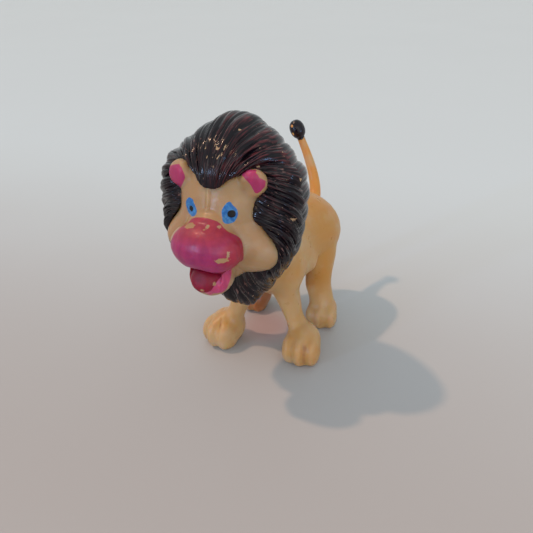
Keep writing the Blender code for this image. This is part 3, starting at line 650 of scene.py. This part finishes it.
def make_hair_finish():
    """Glossy dark paint: red-brown crests, kept mostly to the top as a painted warm sheen, fine pale
    lines of painted glints, and worn to tan in places.
    """
    material, tree, shader, place = start_material("hair_paint")
    strand = node(tree, "UVMap", uv_map="strands").outputs[0]
    parts = node(tree, "SeparateXYZ", {0: strand}).outputs
    turn = maths(tree, "MULTIPLY", parts[0], 2.0 * math.pi)
    way = parts[1]

    def streaks(count, along, detail, shift):
        """Long streaks: many round the hair, few along it."""
        reach = count / (2.0 * math.pi)
        vector = node(tree, "CombineXYZ", {
            0: maths(tree, "MULTIPLY", maths(tree, "COSINE", turn), reach),
            1: maths(tree, "MULTIPLY", maths(tree, "SINE", turn), reach),
            2: maths(tree, "MULTIPLY_ADD", way, along, shift)}).outputs[0]
        return noise(tree, vector, 1.0, detail, 0.55)

    crest, worn = attribute(tree, "crest"), attribute(tree, "worn")
    fine = streaks(*FINE_STREAKS)
    middle = streaks(*MIDDLE_STREAKS)
    clouds = noise(tree, place, 0.13, 3.0)
    ridge = maths(tree, "MULTIPLY_ADD", crest, 0.5, maths(tree, "MULTIPLY", middle, 0.5))
    patchy = ramp(tree, clouds, 0.34, 0.66, 0.12, 1.0)
    red = maths(tree, "MULTIPLY", ramp(tree, ridge, 0.60, 0.82), patchy)
    red = maths(tree, "MULTIPLY", red, ramp(tree, fine, 0.35, 0.65, 0.35, 1.0))
    # Painted sheen: the red-brown crests fade out below the top, where less of the warm light falls
    high = ramp(tree, node(tree, "SeparateXYZ", {0: place}).outputs[2], 38.0, 49.0, 0.2, 1.0)
    colour = blend(tree, maths(tree, "MULTIPLY", red, high), HAIR_DARK, HAIR_RED_AND_SHEEN)
    # Painted glints: fine pale lines along the crests stand in for light reflected from the strands
    crest_mark = maths(tree, "MULTIPLY_ADD", crest, 0.12, streaks(*GLINT_STREAKS))
    glint_lines = ramp(tree, crest_mark, 0.70, 0.78)
    patches = ramp(tree, noise(tree, place, 0.3, 2.0), 0.46, 0.66)
    colour = blend(tree, maths(tree, "MULTIPLY", glint_lines, patches), colour, HAIR_GLINT)
    flakes = streaks(*FLAKE_STREAKS)
    zone = ramp(tree, noise(tree, place, 0.17, 2.0), 0.52, 0.70, 0.0, 0.07)
    flakes = maths(tree, "ADD", flakes, maths(tree, "MULTIPLY_ADD", worn, 0.33, zone))
    bare = ramp(tree, maths(tree, "MULTIPLY_ADD", crest, 0.10, flakes), 0.80, 0.84)
    colour = blend(tree, bare, colour, CHIP_TAN)
    feed(tree, shader.inputs["Base Color"], colour)
    gloss = ramp(tree, noise(tree, place, 0.6, 3.0), 0.3, 0.7, 0.09, 0.18)
    feed(tree, shader.inputs["Roughness"], blend_value(tree, bare, gloss, 0.5))
    height = maths(tree, "MULTIPLY_ADD", middle, 0.8, fine)
    add_bump(tree, shader, maths(tree, "MULTIPLY_ADD", bare, -0.1, height), 0.5, 0.03 * MM)
    shader.inputs["Specular IOR Level"].default_value = HAIR_SHINE
    return material


def key_curve(column, angle):
    """A smooth curve through one column of the hair's keys, the same on both sides."""
    degrees = np.degrees(np.abs(np.arctan2(np.sin(angle), np.cos(angle))))
    at, values = HAIR_KEYS[:, 0], HAIR_KEYS[:, column]
    slopes = np.zeros(len(at))
    slopes[1:-1] = (values[2:] - values[:-2]) / (at[2:] - at[:-2])
    index = np.clip(np.searchsorted(at, degrees, side="left") - 1, 0, len(at) - 2)
    width = at[index + 1] - at[index]
    t = (degrees - at[index]) / width
    rise = values[index + 1] - values[index]
    first, second = slopes[index] * width, slopes[index + 1] * width
    return (values[index] + first * t + (3.0 * rise - 2.0 * first - second) * t ** 2
            + (first + second - 2.0 * rise) * t ** 3)


def hair_place(angle, way):
    """Points of the smooth hair mass: way 0 is the hairline, 1 the widest ring, 2 the nape."""
    hairline = key_curve(1, angle) * SKULL_WIDTH / 2.0
    depth = key_curve(2, angle) * HAIR_DEPTH
    rim = -HEAD_FORWARD - key_curve(3, angle) * SKULL_DEPTH / 2.0
    wide = -HEAD_FORWARD - key_curve(4, angle) * SKULL_DEPTH / 2.0
    turn = np.where(way <= 1.0, way, way - 1.0) * math.pi / 2.0
    lean = np.maximum(np.cos(turn), 0.0) ** (1.0 + NAPE_LEANNESS * np.cos(turn))
    radius = np.where(way <= 1.0, hairline + depth * np.sin(turn), (hairline + depth) * lean)
    back = np.where(way <= 1.0, rim + (wide - rim) * (1.0 - np.cos(turn)),
                    wide + (HAIR_REAR - wide) * np.sin(turn))
    return np.stack((radius * np.sin(angle), back, HAIR_CENTRE + radius * np.cos(angle)), -1)


def strand_angle(column, way):
    """Strands gather at the forelock, fan out over the top and run down to the beard."""
    sweep = LOCK_SWEEP * (1.0 - 0.4 * np.cos(column)) * np.sin(column)
    return column - sweep * np.maximum(1.0 - way, 0.0)


def ridges(phase, bluntness):
    return np.abs(np.sin(phase)) ** bluntness


def waves(column, way, terms):
    """A smooth uneven shift, the same after one turn round the hair."""
    return sum(size * np.sin(turns * column + along * way + start)
               for size, turns, along, start in terms)


def tresses(column, way):
    """Tresses of uneven width, some of which slant across the others."""
    first = TRESSES * column / 2.0 + waves(column, way, (
        (0.9, 3, 0.0, 1.0), (0.6, 7, 0.0, 2.0), (0.55, 4, 3.1, 0.0), (0.35, 11, 7.3, 1.7)))
    second = TRESSES * 0.5 * column + 2.6 * way + waves(column, way, (
        (1.3, 2, 0.0, 4.0), (0.7, 9, 2.0, 0.5), (0.4, 13, 6.0, 2.5)))
    return np.maximum(ridges(first, 0.8), 0.92 * ridges(second, 0.9))


def strands(column, way):
    first = STRANDS * column / 2.0 + waves(column, way, (
        (1.6, 5, 0.0, 0.5), (1.1, 13, 0.0, 3.0), (0.9, 8, 7.0, 0.0), (0.6, 17, 15.0, 1.0)))
    second = STRANDS * column / 2.0 - 4.5 * way + waves(column, way, (
        (1.9, 6, 0.0, 2.5), (1.2, 10, 5.0, 1.0), (0.6, 19, 11.0, 4.0)))
    return np.maximum(ridges(first, 1.0), 0.85 * ridges(second, 1.0))


def hair_height(column, way):
    """How far the locks, tresses and strands stand over the smooth hair mass."""
    rise = np.minimum(1.0, RIM_RELIEF + way / RISE_WAY)
    fade = 1.0 - NAPE_FADE * (way / 2.0) ** 2
    off_top = np.arctan2(np.sin(column), np.cos(column))
    sleek = np.exp(-(off_top / SLEEK_SPAN) ** 2) * np.exp(-(way / SLEEK_WAY) ** 2)
    ragged = 1.0 + RAGGED_SHARE * np.exp(-((np.abs(off_top) - math.pi) / RAGGED_SPAN) ** 2)
    height = LOCK_HEIGHT * (ridges(LOCKS * column / 2.0, 0.7) - LOCK_LEVEL)
    height += TRESS_HEIGHT * (tresses(column, way) - FINE_LEVEL) * ragged
    height += STRAND_HEIGHT * (strands(column, way) - FINE_LEVEL)
    fuller = HAIR_FULLER_LEFT * np.exp(-((off_top - FULLER_AT) / FULLER_SPAN) ** 2) * np.sin(
        np.minimum(way, 2.0) * math.pi / 2.0)
    return rise * fade * (1.0 - SLEEK_SHARE * sleek) * height + fuller


def crest_share(column, way):
    """0 in the furrows and 1 on the crests of tresses and strands."""
    return 0.5 * tresses(column, way) + 0.5 * strands(column, way)


def above_seat(places):
    """How far points lie over the neck's seat, along the neck."""
    local = (places - np.array(NECK_PLACE)) @ np.array(Matrix.Rotation(NECK_LEAN, 3, "X"))
    radius = np.hypot(local[..., 0], local[..., 1])
    drop = np.maximum(radius - SEAT_FLAT_RADIUS, 0.0) * SEAT_SLOPE
    return local[..., 2] + drop - SEAT_GAP


def hair_surface(column, way):
    """Places and outward directions of the sculpted hair."""
    step = 0.01
    angle = strand_angle(column, way)
    along = hair_place(angle, np.minimum(way + step, 2.0))
    along -= hair_place(angle, np.maximum(way - step, 0.0))
    round_way = hair_place(angle + step, way) - hair_place(angle - step, way)
    outward = np.cross(round_way, along)
    outward /= np.maximum(np.linalg.norm(outward, axis=-1, keepdims=True), 1e-12)
    return hair_place(angle, way), outward


def seat_way(columns):
    """How far along each strand the hair reaches before it meets the neck's seat."""
    ways = np.linspace(0.0, NAPE_WAY, NAPE_STEPS)
    grid_column, grid_way = np.meshgrid(columns, ways, indexing="ij")
    places = hair_place(strand_angle(grid_column, grid_way), grid_way)
    clear = above_seat(places) > 0.0
    first_low = np.argmin(clear, axis=1)
    return np.where(clear.all(axis=1), ways[-1], ways[first_low])


def grid_faces(rows, columns):
    """Quads between rows of points that each run once round, closed from the last row to the first."""
    faces = []
    for row in range(rows):
        low, high = row * columns, (row + 1) % rows * columns
        for i in range(columns):
            j = (i + 1) % columns
            faces.append((low + j, low + i, high + i, high + j))
    return faces


def strand_uv(mesh, ways):
    """A map of each strand: round the hair, and how far along it."""
    corners = np.zeros(len(mesh.loops), dtype=int)
    mesh.loops.foreach_get("vertex_index", corners)
    turn = (corners % HAIR_COLUMNS / HAIR_COLUMNS).reshape(-1, 4)
    across_seam = turn.max(axis=1) - turn.min(axis=1) > 0.5
    turn[across_seam] += turn[across_seam] < 0.5
    uv = mesh.uv_layers.new(name="strands")
    uv.data.foreach_set("uv", np.stack((turn.reshape(-1), ways[corners]), -1).reshape(-1))


def worn_share(places):
    """1 at the middle of each worn place, 0 away from all."""
    result = np.zeros(len(places))
    for centre, reach in WORN:
        away = np.linalg.norm(places / MM - centre, axis=1)
        result = np.maximum(result, np.exp(-(away / reach) ** 2))
    return result


def make_hair():
    """A closed coat of locks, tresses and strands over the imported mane, down to the seat."""
    columns = np.linspace(0.0, 2.0 * math.pi, HAIR_COLUMNS, endpoint=False)
    shares = np.linspace(0.0, 1.0, HAIR_ROWS)
    column, share = np.meshgrid(columns, shares, indexing="xy")
    way = share * seat_way(columns)[None, :]
    smooth, outward = hair_surface(column, way)
    outer = smooth + outward * (hair_height(column, way) + HAIR_COAT)[..., None]
    angle = strand_angle(columns, np.zeros(HAIR_COLUMNS))
    inward = np.stack((-np.sin(angle), np.zeros(HAIR_COLUMNS), -np.cos(angle)), -1)
    off_top = np.abs(np.arctan2(np.sin(angle), np.cos(angle)))
    relief = FORELOCK_RELIEF * np.exp(-(off_top / FORELOCK_SPAN) ** 4)
    relief += CHEEK_RELIEF * np.exp(-((off_top - CHEEK_AT) / CHEEK_SPAN) ** 2)
    inward *= RIM_TUCK * (1.0 - relief)[:, None]
    back = np.array((0.0, RIM_TUCK_BACK, 0.0))
    turns = np.linspace(math.pi / 2.0, 0.0, RIM_STEPS)[:-1]
    tucked = [outer[0] + inward * math.sin(turn) + back * (1.0 - math.cos(turn)) for turn in turns]
    inner_rows = np.linspace(HAIR_ROWS - 1, 0, INNER_ROWS).astype(int)
    inner = smooth[inner_rows] - outward[inner_rows] * HAIR_COAT_DEPTH
    inner[0] = (outer[-1] + inner[0]) / 2.0
    places = np.concatenate((tucked, outer, inner)).reshape(-1, 3)
    rows = len(places) // HAIR_COLUMNS
    mesh = bpy.data.meshes.new("hair_coat")
    mesh.from_pydata(places.tolist(), [], grid_faces(rows, HAIR_COLUMNS))
    rim = np.zeros((len(turns), HAIR_COLUMNS))
    ways = np.concatenate((rim, way, way[inner_rows]))
    strand_uv(mesh, ways.reshape(-1))
    crest = crest_share(np.broadcast_to(columns, ways.shape), ways)
    keep(mesh, "crest", crest.reshape(-1))
    keep(mesh, "worn", worn_share(places))
    bm = bmesh.new()
    bm.from_mesh(mesh)
    bmesh.ops.recalc_face_normals(bm, faces=bm.faces[:])
    bm.to_mesh(mesh)
    bm.free()
    mesh.shade_smooth()
    return add_object("hair_coat", mesh)


def make_floor():
    """A wide pale table top, painted darker and warmer towards the lion's front as painted shade, with
    a pink spot of painted bounced light under its belly.
    """
    bm = bmesh.new()
    bmesh.ops.create_grid(bm, x_segments=8, y_segments=8, size=TABLE_HALF)
    mesh = bpy.data.meshes.new("table_top")
    bm.to_mesh(mesh)
    bm.free()
    floor = add_object("table_top", mesh)
    floor.location = (0.0, 0.0, -TABLE_DROP)
    material, tree, shader, place = start_material("table_finish")
    away = vector_value(tree, "DOT_PRODUCT", place, TABLE_PALER)
    clouds = noise(tree, place, 0.012, 3.0)
    shift = maths(tree, "MULTIPLY_ADD", clouds, 30.0, away)
    # Painted shade: darker and warmer towards the lion's front
    colour = blend(tree, ramp(tree, shift, -45.0, 125.0), TABLE_NEAR, TABLE_FAR)
    # Painted bounced light: a pink spot on the table under the lion's belly
    under = vector_value(tree, "DISTANCE", place, BOUNCE_PLACE)
    colour = blend(tree, ramp(tree, under, 2.0, 10.0, 0.6, 0.0), colour, TABLE_BOUNCE_PINK)
    feed(tree, shader.inputs["Base Color"], colour)
    feed(tree, shader.inputs["Roughness"], ramp(tree, clouds, 0.3, 0.7, 0.5, 0.6))
    add_bump(tree, shader, noise(tree, place, 2.0, 2.0), 0.05, 0.1 * MM)
    shader.inputs["Specular IOR Level"].default_value = TABLE_SHINE
    mesh.materials.append(material)


def add_lamp(lamp, direction):
    """Hangs a lamp so that it shines on the lion from a direction."""
    thing = bpy.data.objects.new(lamp.name, lamp)
    bpy.context.scene.collection.objects.link(thing)
    thing.location = LIGHT_AIM + direction.normalized() * LIGHT_REACH
    thing.rotation_euler = direction.to_track_quat("Z", "Y").to_euler()


def make_sun():
    """One small bright source, high on the lion's right and a little in front."""
    lamp = bpy.data.lights.new("key", "SUN")
    lamp.angle = SUN_ANGLE
    lamp.energy = SUN_STRENGTH
    lamp.color = SUN_COLOUR
    add_lamp(lamp, SUN_FROM)


def make_area(name, direction, width, height, power, colour):
    lamp = bpy.data.lights.new(name, "AREA")
    lamp.shape = "RECTANGLE"
    lamp.size = width
    lamp.size_y = height
    lamp.energy = power
    lamp.color = colour
    add_lamp(lamp, direction)


def make_lights():
    world = bpy.data.worlds.new("room")
    world.use_nodes = True
    back = world.node_tree.nodes["Background"]
    back.inputs["Color"].default_value = ROOM_COLOUR
    back.inputs["Strength"].default_value = 1.0
    bpy.context.scene.world = world
    make_sun()
    for name, values in AREA_LAMPS.items():
        make_area(name, *values)


def make_camera():
    camera = bpy.data.cameras.new("camera")
    camera.sensor_width = SENSOR
    camera.lens = FOCAL_PIXELS / IMAGE_SIZE * SENSOR
    camera.clip_start = 1.0 * MM
    back = Vector((math.sin(CAMERA_AZIMUTH) * math.cos(CAMERA_DROP),
                   -math.cos(CAMERA_AZIMUTH) * math.cos(CAMERA_DROP), math.sin(CAMERA_DROP)))
    right = Vector((math.cos(CAMERA_AZIMUTH), math.sin(CAMERA_AZIMUTH), 0.0))
    up = back.cross(right)
    turned_right = right * math.cos(CAMERA_ROLL) + up * math.sin(CAMERA_ROLL)
    turned_up = up * math.cos(CAMERA_ROLL) - right * math.sin(CAMERA_ROLL)
    thing = bpy.data.objects.new("camera", camera)
    bpy.context.scene.collection.objects.link(thing)
    thing.matrix_world = Matrix((turned_right, turned_up, back)).transposed().to_4x4()
    thing.location = CAMERA_PLACE
    bpy.context.scene.camera = thing


def main():
    finishes = {"body": make_vinyl(), "head": make_head_finish(), "tail": make_tail_finish()}
    skins = {name: close_skin(name) for name in finishes}
    for name, skin in skins.items():
        sculpt(skin.data, STROKES[name], LINES[name])
        find_hollows(skin.data)
        skin.data.materials.clear()
        skin.data.materials.append(finishes[name])
        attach(skin, "head" if name == "head" else "body")
        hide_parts(name)
    paint_head(skins["head"].data)
    paint_tail(skins["tail"].data)
    hair = make_hair_finish()
    coat = make_hair()
    coat.data.materials.append(hair)
    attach(coat, "head")
    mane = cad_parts["mane"]
    mane.data.materials.clear()
    mane.data.materials.append(hair)
    make_floor()
    make_lights()
    make_camera()
    bpy.context.scene.view_settings.view_transform = "Standard"


main()
